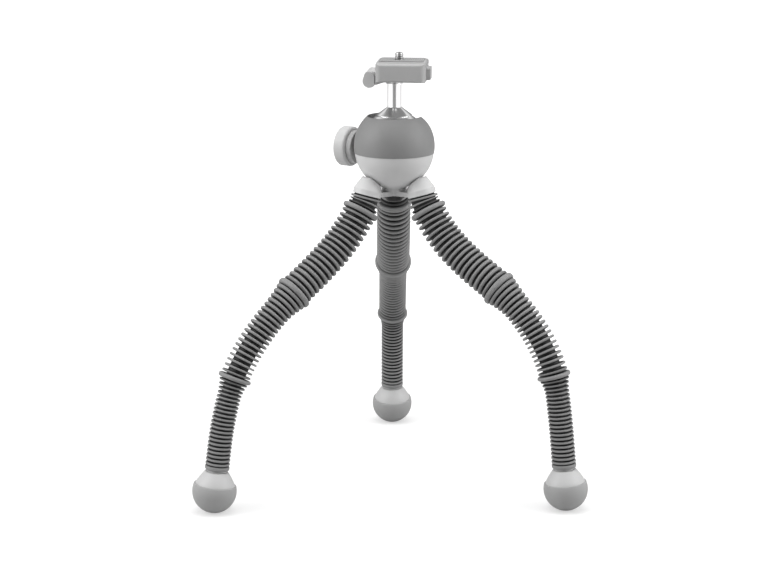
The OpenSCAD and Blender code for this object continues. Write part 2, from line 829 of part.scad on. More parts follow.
module button_pocket() {
    mouth_w = button_w + 2 * slide_gap;
    mouth_h = button_h + 2 * slide_gap;
    flange_w = mouth_w + 2 * button_flange;
    inner = button_in + spring_room;
    translate([button_end - inner, -mouth_w / 2, button_low - slide_gap])
        cube([2 * inner, mouth_w, mouth_h]);
    translate([button_end - inner, -flange_w / 2, button_low - slide_gap])
        cube([inner - button_in + button_flange_t + seat, flange_w, mouth_h]);
}

module lever_slot() {
    low = clamp_base - 2 * chin_h;
    translate([-2 * lever_end, -lever_root_w / 2 - slide_gap, low]) cube([
        2 * lever_end + lever_x + barrel_r + slide_gap,
        lever_root_w + 2 * slide_gap,
        lever_z + barrel_r + slide_gap - low
    ]);
}

module clamp_body() {
    color("darkgray") at_clamp() difference() {
        clamp_block();
        translate([-2 * lever_end, 0, plate_seat]) rotate([90, 0, 90]) linear_extrude(4 * clamp_w)
            plate_section(plate_w / 2, jaw_h + seat, slide_gap);
        translate([0, 0, stem_top]) cylinder(r = pivot_d / 2 + shaft_gap, h = clamp_h);
        translate([0, 0, bolt_ledge]) cylinder(r = bolt_head_d / 2 + slide_gap, h = clamp_h);
        lever_slot();
        translate([lever_x, 0, lever_z]) rotate([90, 0, 0])
            cylinder(r = lever_pin_d / 2 + shaft_gap, h = 2 * pin_half + 2 * seat, center = true);
        button_pocket();
    }
}

module clamp_bolt() {
    color("silver") at_clamp() {
        translate([0, 0, pivot_end - bolt_depth + seat]) cylinder(d = bolt_d, h = bolt_depth + bolt_head_h);
        translate([0, 0, bolt_ledge + seat]) cylinder(d = bolt_head_d, h = bolt_head_h);
    }
}

module lever_pin() {
    color("silver") at_clamp() translate([lever_x, 0, lever_z]) rotate([90, 0, 0])
        cylinder(d = lever_pin_d, h = 2 * pin_half, center = true);
}

// The lever hangs from its pin: a barrel and web in the clamp, and a thick paddle outside it
paddle_gap = 0.7;
paddle_nose_r = 5;
paddle_reach = 3.8;
paddle_low = 5.9;
brow_r = 1.9;
brow_out = 1.7;
brow_low = 1.2;
heel_r = 1.6;
heel_low = 7.6;
crown_r = 1.4;
crown_out = 2.9;
crown_low = 0.8;
thumb_r = 12;
thumb_depth = 1.6;
web_t = 4.4;
module lock_lever() {
    edge = -lever_end - paddle_gap - lever_x;
    nose = [edge - paddle_reach, -paddle_low];
    color("darkgray") at_clamp() translate([lever_x, 0, lever_z]) difference() {
        union() {
            across(lever_root_w) circle(barrel_r);
            across(lever_root_w) rotate(225) translate([0, -web_t / 2])
                square([paddle_low + barrel_r, web_t]);
            across(paddle_w) intersection() {
                hull() {
                    translate(nose) circle(paddle_nose_r, $fn = 32);
                    translate([nose[0] - brow_out, -brow_low]) circle(brow_r, $fn = 32);
                    translate([edge - crown_out, -crown_low]) circle(crown_r, $fn = 32);
                    translate([edge - heel_r, -heel_low]) circle(heel_r, $fn = 32);
                }
                translate([edge - paddle_w, -paddle_w]) square([paddle_w, 2 * paddle_w]);
            }
        }
        rotate([90, 0, 0]) cylinder(r = lever_pin_d / 2 + shaft_gap, h = paddle_w, center = true);
        translate([nose[0], 0, thumb_r - thumb_depth]) rotate([90, 0, 0]) sphere(thumb_r);
    }
}

module release_button() {
    color("gray") at_clamp() {
        translate([button_end - button_in, 0, button_low]) rotate([90, 0, 90])
            linear_extrude(button_in + button_out) translate([-button_w / 2, 0])
                rounded_rect([button_w, button_h], edge_round);
        translate([button_end - button_in, -button_w / 2 - button_flange, button_low])
            cube([button_flange_t, button_w + 2 * button_flange, button_h]);
    }
}

// The button's coil spring, one wire wound round the x axis
spring_r = 2.4;
wire_r = 0.4;
spring_turns = 4;
turn_rings = 8;
wire_sides = 6;
spring_len = spring_room - 2 * wire_r - 2 * seat;
spring_rings = spring_turns * turn_rings;
function coil_at(i) =
    let (a = 360 * i / turn_rings)
    [spring_len * i / spring_rings, spring_r * cos(a), spring_r * sin(a)];
function wire_ring(i) =
    let (a = 360 * i / turn_rings)
    [
        for (j = [0:wire_sides - 1])
            let (b = 360 * j / wire_sides, out = wire_r * cos(b))
            coil_at(i) + [wire_r * sin(b), out * cos(a), out * sin(a)]
    ];
spring_gap = norm(coil_at(turn_rings) - coil_at(0)) - 2 * wire_r;
echo(spring_gap = spring_gap);
module button_spring() {
    last = spring_rings * wire_sides;
    faces = concat(
        [[for (j = [0:wire_sides - 1]) j]],
        [
            for (i = [0:spring_rings - 1], j = [0:wire_sides - 1])
                let (m = (j + 1) % wire_sides, here = i * wire_sides, next = here + wire_sides)
                each [[here + j, next + j, next + m], [here + j, next + m, here + m]]
        ],
        [[for (j = [wire_sides - 1:-1:0]) last + j]]
    );
    color("silver") at_clamp()
        translate([button_end - button_in - spring_room + wire_r + seat, 0, button_low + button_h / 2])
            polyhedron([for (i = [0:spring_rings]) each wire_ring(i)], faces);
}

// The plate, its pad and the camera screw
plate_low = plate_seat + seat;
plate_top = plate_low + plate_t;
plate_half_top = plate_w / 2 - plate_t * tan(dovetail);
plate_end_gap = 0.5;
screw_head_t = 1.6;
screw_room = 0.15;
module quick_release_plate() {
    color("gainsboro") at_clamp() difference() {
        translate([plate_end_gap - lever_end, 0, plate_low]) rotate([90, 0, 90])
            linear_extrude(clamp_w - 2 * plate_end_gap) plate_section(plate_w / 2, plate_t, 0);
        translate([screw_offset, 0, plate_low - seat])
            cylinder(r = thread_d / 2 + screw_room, h = plate_t + 2 * seat);
        translate([screw_offset, 0, plate_low - seat])
            cylinder(r = screw_head_d / 2 + screw_room, h = screw_head_t + 3 * seat);
    }
}

module plate_pad() {
    half = plate_half_top - pad_margin;
    inset = plate_end_gap + pad_margin;
    color("dimgray") at_clamp() difference() {
        translate([inset - lever_end, -half, plate_top]) linear_extrude(pad_t)
            rounded_rect([clamp_w - 2 * inset, 2 * half], pad_margin);
        translate([screw_offset, 0, plate_top - seat])
            cylinder(r = thread_d / 2 + 2 * screw_room, h = pad_t + 2 * seat);
    }
}

screw_tip = 0.6;
screw_slot = 1.2;
screw_relief = 0.6;
module camera_screw() {
    r = thread_d / 2;
    head_low = plate_low + seat;
    thread_low = plate_top + pad_t + 2 * seat;
    top = plate_top + pad_t + screw_proud;
    color("silver") at_clamp() translate([screw_offset, 0, 0]) difference() {
        rotate_extrude() polygon([
            [0, head_low], [screw_head_d / 2, head_low], [screw_head_d / 2, head_low + screw_head_t],
            [r - screw_relief, head_low + screw_head_t], [r - screw_relief, thread_low],
            [r, thread_low], [r, top - screw_tip], [r - screw_tip, top], [0, top]
        ]);
        translate([-screw_head_d, -screw_slot / 2, head_low - seat])
            cube([2 * screw_head_d, screw_slot, screw_head_t / 2 + seat]);
    }
}

function link_name(leg, i) = str(leg_names[leg], "_link_", i + 1);
function leg_name(leg, piece) = str(leg_names[leg], "_", piece);
leg_pieces = ["upper_sleeve", "middle_sleeve", "lower_sleeve", "foot_cap", "foot_pad"];

hub();
shoulder_studs();
head_stud();
hub_cover();
lower_bowl();
upper_housing();
socket_liner();
ball_stem();
brake_shoe();
lock_knob();
knob_ring();
knob_screw();
clamp_body();
clamp_bolt();
lever_pin();
lock_lever();
release_button();
button_spring();
quick_release_plate();
plate_pad();
camera_screw();
for (leg = [0:2]) {
    for (i = [0:links - 1])
        leg_link(leg, i);
    upper_sleeve(leg);
    middle_sleeve(leg);
    lower_sleeve(leg);
    foot_cap(leg);
    foot_pad(leg);
}
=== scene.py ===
"""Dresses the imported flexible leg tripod: ribbed skins, finishes, studio and camera."""

import json
import logging
import math
from dataclasses import dataclass
from enum import Enum
from typing import Any, Sequence

import bmesh
import bpy
from mathutils import Matrix, Vector


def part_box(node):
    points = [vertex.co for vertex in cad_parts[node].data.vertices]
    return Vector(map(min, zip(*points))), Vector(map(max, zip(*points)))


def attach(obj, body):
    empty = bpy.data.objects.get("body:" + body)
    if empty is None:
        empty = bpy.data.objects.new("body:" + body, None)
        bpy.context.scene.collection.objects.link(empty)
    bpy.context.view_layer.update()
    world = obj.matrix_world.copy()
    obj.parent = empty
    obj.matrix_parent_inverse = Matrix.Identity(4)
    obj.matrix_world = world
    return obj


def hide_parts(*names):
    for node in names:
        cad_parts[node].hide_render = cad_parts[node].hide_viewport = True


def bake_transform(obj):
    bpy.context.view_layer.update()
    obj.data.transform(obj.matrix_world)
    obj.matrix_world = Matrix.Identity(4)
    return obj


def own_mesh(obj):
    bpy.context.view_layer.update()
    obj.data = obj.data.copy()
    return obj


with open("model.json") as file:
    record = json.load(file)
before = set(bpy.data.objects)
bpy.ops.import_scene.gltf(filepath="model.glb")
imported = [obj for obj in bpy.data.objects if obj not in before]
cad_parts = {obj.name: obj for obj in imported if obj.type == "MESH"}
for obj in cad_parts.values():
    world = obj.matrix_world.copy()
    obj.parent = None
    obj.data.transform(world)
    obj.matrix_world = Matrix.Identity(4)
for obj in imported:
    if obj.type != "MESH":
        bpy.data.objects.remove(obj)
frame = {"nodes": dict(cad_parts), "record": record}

LOG = logging.getLogger("tripod")
MM = 0.001
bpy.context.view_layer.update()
LINKS = range(1, 9)
SHARP_EDGE = math.radians(50)
FRONT_FLAG = (-0.94, -0.84)
BACK_FLAG = (0.2, 0.85)
BLACK = (0.0, 0.0, 0.0, 1.0)
WHITE = (1.0, 1.0, 1.0, 1.0)
TURN_STEPS = 40
WIRE_SIDES = 6


def linear(tone: float) -> float:
    """Linear value of an sRGB tone.

    Args:
        tone: Grey as it looks on screen, from 0 to 1.

    Returns:
        The same grey as a shader colour value.
    """
    return tone / 12.92 if tone <= 0.04045 else ((tone + 0.055) / 1.055) ** 2.4


def grey(tone: float) -> tuple[float, float, float, float]:
    """A neutral shader colour of an sRGB tone."""
    value = linear(tone)
    return (value, value, value, 1.0)


class Sock:
    """A shader output that takes part in arithmetic."""

    def __init__(self, laid: "Nodes", socket: Any) -> None:
        """Wraps one output socket of a shader tree."""
        self.laid = laid
        self.socket = socket

    def _math(self, operation: str, first: Any, second: Any) -> "Sock":
        """Adds one Math node on two values or sockets."""
        return self.laid.node("ShaderNodeMath", {"operation": operation}, {0: first, 1: second})

    def __add__(self, other: Any) -> "Sock":
        """Sum of two values."""
        return self._math("ADD", self, other)

    __radd__ = __add__

    def __mul__(self, other: Any) -> "Sock":
        """Product of two values."""
        return self._math("MULTIPLY", self, other)

    __rmul__ = __mul__

    def __sub__(self, other: Any) -> "Sock":
        """Difference of two values."""
        return self._math("SUBTRACT", self, other)

    def __rsub__(self, other: Any) -> "Sock":
        """Difference with the socket on the right."""
        return self._math("SUBTRACT", other, self)


class Nodes:
    """The shader tree of a material or of the world, while its nodes are laid."""

    def __init__(self, tree: bpy.types.NodeTree) -> None:
        """Starts from an empty tree."""
        self.tree = tree
        tree.nodes.clear()

    def node(self, kind: str, settings: dict[str, Any] | None = None,
             inputs: dict[Any, Any] | None = None, out: int | str | None = 0) -> Sock | None:
        """Adds a node.

        Args:
            kind: The node's type name.
            settings: Its properties, set before its sockets.
            inputs: Values or sockets for its inputs, by name or index.
            out: The output to return, or None for a node without one.

        Returns:
            The chosen output.
        """
        made = self.tree.nodes.new(kind)
        for key, value in (settings or {}).items():
            setattr(made, key, value)
        for key, value in (inputs or {}).items():
            self.feed(made.inputs[key], value)
        return None if out is None else Sock(self, made.outputs[out])

    def feed(self, socket: Any, value: Any) -> None:
        """Links a socket, or sets its plain value."""
        if isinstance(value, Sock):
            self.tree.links.new(value.socket, socket)
        else:
            socket.default_value = value

    def place(self, stretch: tuple[float, float, float] = (1.0, 1.0, 1.0)) -> Sock:
        """Object coordinates, stretched along the axes."""
        coords = self.node("ShaderNodeTexCoord", out="Object")
        return self.node("ShaderNodeMapping", inputs={"Vector": coords, "Scale": stretch})

    def noise(self, scale: float, detail: float = 2.0,
              stretch: tuple[float, float, float] = (1.0, 1.0, 1.0)) -> Sock:
        """Noise of about 1 / scale metres, centred on one half."""
        inputs = {"Vector": self.place(stretch), "Scale": scale, "Detail": detail}
        return self.node("ShaderNodeTexNoise", inputs=inputs)

    def attribute(self, name: str) -> Sock:
        """A number stored on the mesh."""
        return self.node("ShaderNodeAttribute", {"attribute_name": name}, out="Fac")

    def dot(self, way: Sock, axis: tuple[float, float, float]) -> Sock:
        """How far a vector reaches along an axis."""
        inputs = {0: way, 1: axis}
        return self.node("ShaderNodeVectorMath", {"operation": "DOT_PRODUCT"}, inputs, out="Value")

    def blend(self, factor: Any, first: Any, second: Any) -> Sock:
        """Mix of two colours."""
        return self.node("ShaderNodeMix", {"data_type": "RGBA"}, {0: factor, 6: first, 7: second}, out=2)

    def ramp(self, value: Sock, start: float, end: float, low: float = 0.0, high: float = 1.0) -> Sock:
        """A smooth step of a value.

        Args:
            value: What the step follows.
            start: Where the step begins.
            end: Where the step ends.
            low: What it gives before the step.
            high: What it gives after the step.

        Returns:
            The stepped value.
        """
        inputs = {"Value": value, "From Min": start, "From Max": end, "To Min": low, "To Max": high}
        return self.node("ShaderNodeMapRange", {"interpolation_type": "SMOOTHSTEP"}, inputs)

    def flags(self, way: Sock, front: float, back: float) -> Sock:
        """What polished metal sees round the object: a dark flag before it and a grey one behind it.

        Args:
            way: The direction from the object.
            front: Level before the object.
            back: Level behind the object.

        Returns:
            The level, which is 1 at the sides.
        """
        flat = self.node("ShaderNodeVectorMath", {"operation": "MULTIPLY"}, {0: way, 1: (1, 1, 0)})
        unit = self.node("ShaderNodeVectorMath", {"operation": "NORMALIZE"}, {0: flat})
        depth = self.node("ShaderNodeSeparateXYZ", inputs={0: unit}, out="Y")
        return self.ramp(depth, *FRONT_FLAG, front, 1.0) * self.ramp(depth, *BACK_FLAG, 1.0, back)


class Shade(Nodes):
    """One procedural material while its nodes are laid."""

    def __init__(self, name: str) -> None:
        """Starts a material with a Principled shader and nothing else."""
        self.material = bpy.data.materials.new(name)
        self.material.use_nodes = True
        super().__init__(self.material.node_tree)
        output = self.tree.nodes.new("ShaderNodeOutputMaterial")
        self.shader = self.tree.nodes.new("ShaderNodeBsdfPrincipled")
        self.tree.links.new(self.shader.outputs[0], output.inputs[0])

    def bump(self, height: Sock, depth: float, strength: float, edge: float = 0.0) -> None:
        """Feeds the shader's normal from a height over softened edges.

        Args:
            height: The height, from 0 to 1.
            depth: What 1 stands for, in metres.
            strength: Share of the bump that shows.
            edge: Radius that sharp edges seem to have, in metres.
        """
        inputs = {"Height": height, "Distance": depth, "Strength": strength}
        if edge > 0:
            inputs["Normal"] = self.node("ShaderNodeBevel", {"samples": 6}, {"Radius": edge})
        self.feed(self.shader.inputs["Normal"], self.node("ShaderNodeBump", inputs=inputs))

    def surface(self, **sockets: Any) -> None:
        """Sets or links the shader's inputs, with underscores for spaces."""
        for key, value in sockets.items():
            self.feed(self.shader.inputs[key.replace("_", " ")], value)


@dataclass(frozen=True)
class Finish:
    """A moulded plastic with a fine spark-eroded grain."""

    name: str
    tone: float
    rough: float = 0.5
    grain_mm: float = 0.35
    depth_mm: float = 0.02
    mottle_and_rib_shade: float = 0.06
    edge_mm: float = 0.35

    def grain(self, shade: Shade) -> Sock:
        """The finish's fine grain."""
        return shade.noise(1 / (self.grain_mm * MM), 3.0)

    def dress(self, shade: Shade) -> None:
        """Lays the finish's nodes."""
        grain = self.grain(shade)
        cloud = shade.noise(45.0, 4.0)
        low, high = grey(self.tone * (1 - self.mottle_and_rib_shade)), grey(min(1.0, self.tone * (1 + self.mottle_and_rib_shade)))
        shade.surface(Base_Color=shade.blend(cloud, low, high),
                      Roughness=cloud * 0.1 + grain * 0.08 + (self.rough - 0.09))
        shade.bump(grain, self.depth_mm * MM, 0.35, self.edge_mm * MM)

    def material(self) -> bpy.types.Material:
        """The finish as a material, made once."""
        known = bpy.data.materials.get(self.name)
        if known is None:
            shade = Shade(self.name)
            self.dress(shade)
            known = shade.material
        return known


@dataclass(frozen=True)
class GroovedRubber(Finish):
    """Rubber painted with shade in its grooves, darkening from its own tone on the crests to a near-black
    groove tone.
    """

    groove_shade_tone: float = 0.2

    def dress(self, shade: Shade) -> None:
        """Lays the rubber's nodes over the skin's rib attribute."""
        grain = self.grain(shade)
        cloud = shade.noise(70.0, 3.0)
        crest = shade.attribute("crest")
        # painted shade: the colour falls from the rubber's tone on the crests to the near-black groove tone
        # down each rib, standing in for the shade in the grooves
        height = shade.ramp(crest + (cloud - 0.5) * 0.12, 0.3, 1.0)
        shade.surface(Base_Color=shade.blend(height, grey(self.groove_shade_tone), grey(self.tone)),
                      Roughness=cloud * 0.12 + (self.rough - crest * 0.06))
        shade.bump(grain, self.depth_mm * MM, 0.4)


@dataclass(frozen=True)
class TurnedMetal(Finish):
    """Bare metal with the fine rings that turning leaves round an upright axis."""

    pitch_mm: float = 0.12

    def dress(self, shade: Shade) -> None:
        """Lays the metal's nodes."""
        rings = shade.noise(1 / (self.pitch_mm * MM), 2.0, (0.02, 0.02, 1.0))
        smear = shade.noise(60.0, 3.0)
        low, high = grey(self.tone * (1 - self.mottle_and_rib_shade)), grey(self.tone)
        shade.surface(Base_Color=shade.blend(smear, low, high), Metallic=1.0,
                      Roughness=rings * 0.08 + smear * 0.08 + (self.rough - 0.08))
        shade.bump(rings, self.depth_mm * MM, 0.15, self.edge_mm * MM)


@dataclass(frozen=True)
class RibbedPad(Finish):
    """Rubber with low bumped ribs across the clamp's length, painted darker in the valleys between them as
    shade.
    """

    rib_mm: float = 1.6
    turn_deg: float = -5.5

    def dress(self, shade: Shade) -> None:
        """Lays the pad's nodes."""
        turn = math.radians(self.turn_deg)
        along = shade.dot(shade.place(), (math.cos(turn), math.sin(turn), 0.0))
        around = along * (2 * math.pi / (self.rib_mm * MM))
        wave = shade.node("ShaderNodeMath", {"operation": "SINE"}, {0: around})
        rib = shade.ramp(wave, -0.7, 0.5)
        grain = self.grain(shade)
        # painted shade: the valleys between the bumped ribs are coloured darker than the crests
        shade.surface(Base_Color=shade.blend(rib, grey(self.tone * (1 - 4 * self.mottle_and_rib_shade)), grey(self.tone)),
                      Roughness=grain * 0.1 + (self.rough - 0.05))
        shade.bump(rib + grain * 0.1, self.depth_mm * MM, 0.8, self.edge_mm * MM)


class Look(Enum):
    """The finishes of the tripod's pieces."""

    HOUSING = Finish("housing_grey", 0.52, 0.5, 0.3, 0.012)
    BOWL = Finish("bowl_silver", 0.82, 0.38, 0.2, 0.006, 0.02)
    HUB = Finish("hub_pale", 0.85, 0.45, 0.35, 0.01, 0.02)
    # painted shade: the cap under the hub is coloured near-black so it sinks into the shade on the rear
    # leg's ribs behind it
    SHADE_CAP = Finish("cap_painted_shade", 0.2, 0.6)
    KNOB = Finish("knob_pale", 0.8, 0.5, 0.35, 0.015, 0.03)
    RING = Finish("knob_ring_grey", 0.66, 0.5, 0.35, 0.015, 0.03)
    CLAMP = Finish("clamp_grey", 0.69, 0.5, 0.35, 0.015, 0.04)
    LEVER = Finish("lever_grey", 0.76, 0.5, 0.35, 0.015, 0.04)
    BUTTON = Finish("button_grey", 0.68, 0.5)
    LINER = Finish("liner_ivory", 0.85, 0.45)
    LINK = Finish("link_white", 0.85, 0.4)
    FOOT_CAP = Finish("foot_cap_pale", 0.78, 0.45, 0.35, 0.01, 0.02)
    FOOT_PAD = Finish("foot_rubber", 0.65, 0.62, 0.3, 0.03, 0.04)
    PAD = RibbedPad("plate_rubber", 0.66, 0.7, 0.3, 0.2)
    PLATE = Finish("plate_satin", 0.7, 0.4, 0.2, 0.01, 0.03)
    SKIN = GroovedRubber("leg_rubber", 0.54, 0.55, 0.3, 0.02, 0.05, groove_shade_tone=0.06)
    STEM = TurnedMetal("stem_polished", 0.93, 0.2, 0.3, 0.002, 0.03)
    STEEL = TurnedMetal("screw_steel", 0.78, 0.28, 0.3, 0.004, 0.1)

    def material(self) -> bpy.types.Material:
        """The finish's material."""
        return self.value.material()


def paint(node: str, look: Look) -> None:
    """Gives a CAD node's object one finish."""
    slots = frame["nodes"][node].data.materials
    slots.clear()
    slots.append(look.material())


def new_object(name: str, mesh: bpy.types.Mesh) -> bpy.types.Object:
    """Puts a mesh in the scene under a name."""
    made = bpy.data.objects.new(name, mesh)
    bpy.context.scene.collection.objects.link(made)
    return made


class Tree:
    """A Geometry Nodes tree while its nodes are laid."""

    def __init__(self, name: str, inputs: Sequence[tuple[str, str]]) -> None:
        """Starts a tree.

        Args:
            name: The tree's name.
            inputs: Name and socket type of each input after the geometry.
        """
        self.group = bpy.data.node_groups.new(name, "GeometryNodeTree")
        face = self.group.interface
        face.new_socket("Geometry", in_out="INPUT", socket_type="NodeSocketGeometry")
        self.keys = {
            label: face.new_socket(label, in_out="INPUT", socket_type=kind).identifier
            for label, kind in inputs
        }
        face.new_socket("Geometry", in_out="OUTPUT", socket_type="NodeSocketGeometry")
        self.entry = self.group.nodes.new("NodeGroupInput")
        self.exit = self.group.nodes.new("NodeGroupOutput")

    def node(self, kind: str, settings: dict[str, Any] | None = None,
             inputs: dict[Any, Any] | None = None) -> Any:
        """Adds a node, with its settings first and then its values or links."""
        made = self.group.nodes.new(kind)
        for key, value in (settings or {}).items():
            setattr(made, key, value)
        for key, value in (inputs or {}).items():
            if isinstance(value, bpy.types.NodeSocket):
                self.group.links.new(value, made.inputs[key])
            else:
                made.inputs[key].default_value = value
        return made

    def finish(self, geometry: Any) -> "Tree":
        """Ends the tree in realised geometry with its material."""
        smooth = self.node("GeometryNodeSetShadeSmooth", inputs={"Geometry": geometry})
        real = self.node("GeometryNodeRealizeInstances", inputs={"Geometry": smooth.outputs[0]})
        done = self.node("GeometryNodeSetMaterial",
                         inputs={"Geometry": real.outputs[0], "Material": self.entry.outputs["Material"]})
        self.group.links.new(done.outputs[0], self.exit.inputs[0])
        return self

    def grow(self, name: str, mesh: bpy.types.Mesh, **values: Any) -> bpy.types.Object:
        """Runs the tree on a mesh and keeps the result as a plain mesh.

        Args:
            name: The new piece's name.
            mesh: What the tree starts from.
            values: The tree's inputs, with underscores for spaces.

        Returns:
            The finished piece, with no modifier.
        """
        seed = new_object(name, mesh)
        modifier = seed.modifiers.new("tree", "NODES")
        modifier.node_group = self.group
        for key, value in values.items():
            modifier[self.keys[key.replace("_", " ")]] = value
        bpy.context.view_layer.update()
        graph = bpy.context.evaluated_depsgraph_get()
        grown = bpy.data.meshes.new_from_object(seed.evaluated_get(graph))
        seed.modifiers.clear()
        seed.data = grown
        grown.name = name
        bpy.data.meshes.remove(mesh)
        close_normals(grown)
        return seed


def close_normals(mesh: bpy.types.Mesh) -> None:
    """Turns every face of a closed mesh outwards."""
    work = bmesh.new()
    work.from_mesh(mesh)
    bmesh.ops.recalc_face_normals(work, faces=work.faces)
    work.to_mesh(mesh)
    work.free()


def skin_tree() -> Tree:
    """The tree that sweeps a round section along a path, as wide as each point's rib."""
    tree = Tree("ribbed_skin", [("Sides", "NodeSocketInt"), ("Material", "NodeSocketMaterial")])
    path = tree.node("GeometryNodeMeshToCurve", inputs={"Mesh": tree.entry.outputs["Geometry"]})
    width = tree.node("GeometryNodeInputNamedAttribute", {"data_type": "FLOAT"}, {"Name": "rib_radius"})
    section = tree.node("GeometryNodeCurvePrimitiveCircle",
                        inputs={"Resolution": tree.entry.outputs["Sides"], "Radius": 1.0})
    sweep = tree.node("GeometryNodeCurveToMesh",
                      inputs={"Curve": path.outputs[0], "Profile Curve": section.outputs[0],
                              "Scale": width.outputs[0], "Fill Caps": True})
    return tree.finish(sweep.outputs[0])


def wound_tree() -> Tree:
    """The tree that winds a wire or a thread's crest round the Z axis, on what it starts from."""
    sizes = [(label, "NodeSocketFloat") for label in ("Radius", "Length", "Turns", "Wire")]
    tree = Tree("wound_wire", [*sizes, ("Material", "NodeSocketMaterial")])
    helix = tree.node("GeometryNodeCurveSpiral",
                      inputs={"Resolution": TURN_STEPS, "Rotations": tree.entry.outputs["Turns"],
                              "Start Radius": tree.entry.outputs["Radius"],
                              "End Radius": tree.entry.outputs["Radius"],
                              "Height": tree.entry.outputs["Length"]})
    section = tree.node("GeometryNodeCurvePrimitiveCircle",
                        inputs={"Resolution": WIRE_SIDES, "Radius": tree.entry.outputs["Wire"]})
    wound = tree.node("GeometryNodeCurveToMesh",
                      inputs={"Curve": helix.outputs[0], "Profile Curve": section.outputs[0],
                              "Fill Caps": True})
    join = tree.node("GeometryNodeJoinGeometry")
    tree.group.links.new(tree.entry.outputs["Geometry"], join.inputs[0])
    tree.group.links.new(wound.outputs[0], join.inputs[0])
    return tree.finish(join.outputs[0])


def turned_mesh(name: str, profile: Sequence[tuple[float, float]], sides: int) -> bpy.types.Mesh:
    """A closed solid of revolution about the Z axis.

    Args:
        name: The mesh's name.
        profile: Radius and height of each ring, in metres, from the lowest ring to the highest.
        sides: Sides round the axis.

    Returns:
        The mesh, with its two ends capped.
    """
    verts: list[tuple[float, float, float]] = []
    for radius, height in profile:
        for k in range(sides):
            angle = 2 * math.pi * k / sides
            verts.append((radius * math.cos(angle), radius * math.sin(angle), height))
    faces: list[tuple[int, ...]] = []
    for row in range(len(profile) - 1):
        for k in range(sides):
            step = (k + 1) % sides
            low, high = row * sides, (row + 1) * sides
            faces.append((low + k, low + step, high + step, high + k))
    faces.append(tuple(reversed(range(sides))))
    faces.append(tuple(range((len(profile) - 1) * sides, len(profile) * sides)))
    mesh = bpy.data.meshes.new(name)
    mesh.from_pydata(verts, [], faces)
    return mesh


def smooth_piece(name: str, mesh: bpy.types.Mesh, look: Look) -> bpy.types.Object:
    """Puts a turned mesh in the scene in its finish, smooth but for its sharp edges."""
    mesh.shade_smooth()
    mesh.set_sharp_from_angle(angle=SHARP_EDGE)
    mesh.materials.append(look.material())
    return new_object(name, mesh)


@dataclass(frozen=True)
class RibRun:
    """A row of round-edged ribs along a leg, in millimetres."""

    start: float
    end: float
    count: int
    crest: float
    groove: float
    first_width: float
    last_width: float
    flare: float = 0.0
    flared: int = 4
    flare_power: float = 1.5
    root: float = 0.25
    root_rise: float = 0.04
    root_step: float = 0.1
    squeeze: float = 0.98
    crest_turns: tuple[int, ...] = (-80, -55, -30, 0, 30, 55, 80)

    def rows(self) -> list[tuple[float, float]]:
        """Length and radius of each ring of the run, whose first ribs flare to meet the collar above.

        Returns:
            The rings in order, grooves between the ribs included.
        """
        pitch = (self.end - self.start) / self.count
        rows: list[tuple[float, float]] = []
        for k in range(self.count):
            share = k / max(1, self.count - 1)
            half = (self.first_width + (self.last_width - self.first_width) * share) / 2
            crest = self.crest + self.flare * max(0.0, 1 - k / self.flared) ** self.flare_power
            middle = self.start + (k + 0.5) * pitch
            foot, side = self.groove + self.root_rise, self.groove + self.root + self.root_step
            rows.append((middle - pitch / 2, self.groove))
            rows.append((middle - half - self.root, foot))
            rows.append((middle - half, side))
            for turn in map(math.radians, self.crest_turns):
                along = half * math.sin(turn) * self.squeeze
                rows.append((middle + along, crest - half + half * math.cos(turn)))
            rows.append((middle + half, side))
            rows.append((middle + half + self.root, foot))
        return rows


@dataclass(frozen=True)
class Collar:
    """A plain ring between two runs of ribs, in millimetres."""

    start: float
    end: float
    radius: float
    groove: float
    edge: float = 1.2
    wall_step: float = 0.1
    edge_turns: tuple[int, ...] = (30, 60, 90)

    def rows(self) -> list[tuple[float, float]]:
        """Length and radius of each ring, both edges rounded.

        Returns:
            The rings in order.
        """
        first, last = self.start + self.wall_step, self.end - self.wall_step
        inner = self.radius - self.edge
        rounds = [(self.edge * (1 - math.cos(turn)), inner + self.edge * math.sin(turn))
                  for turn in map(math.radians, self.edge_turns)]
        rows = [(self.start, self.groove), (first, inner)]
        rows += [(first + along, radius) for along, radius in rounds]
        rows += [(last - along, radius) for along, radius in reversed(rounds)]
        rows.append((last, inner))
        return rows


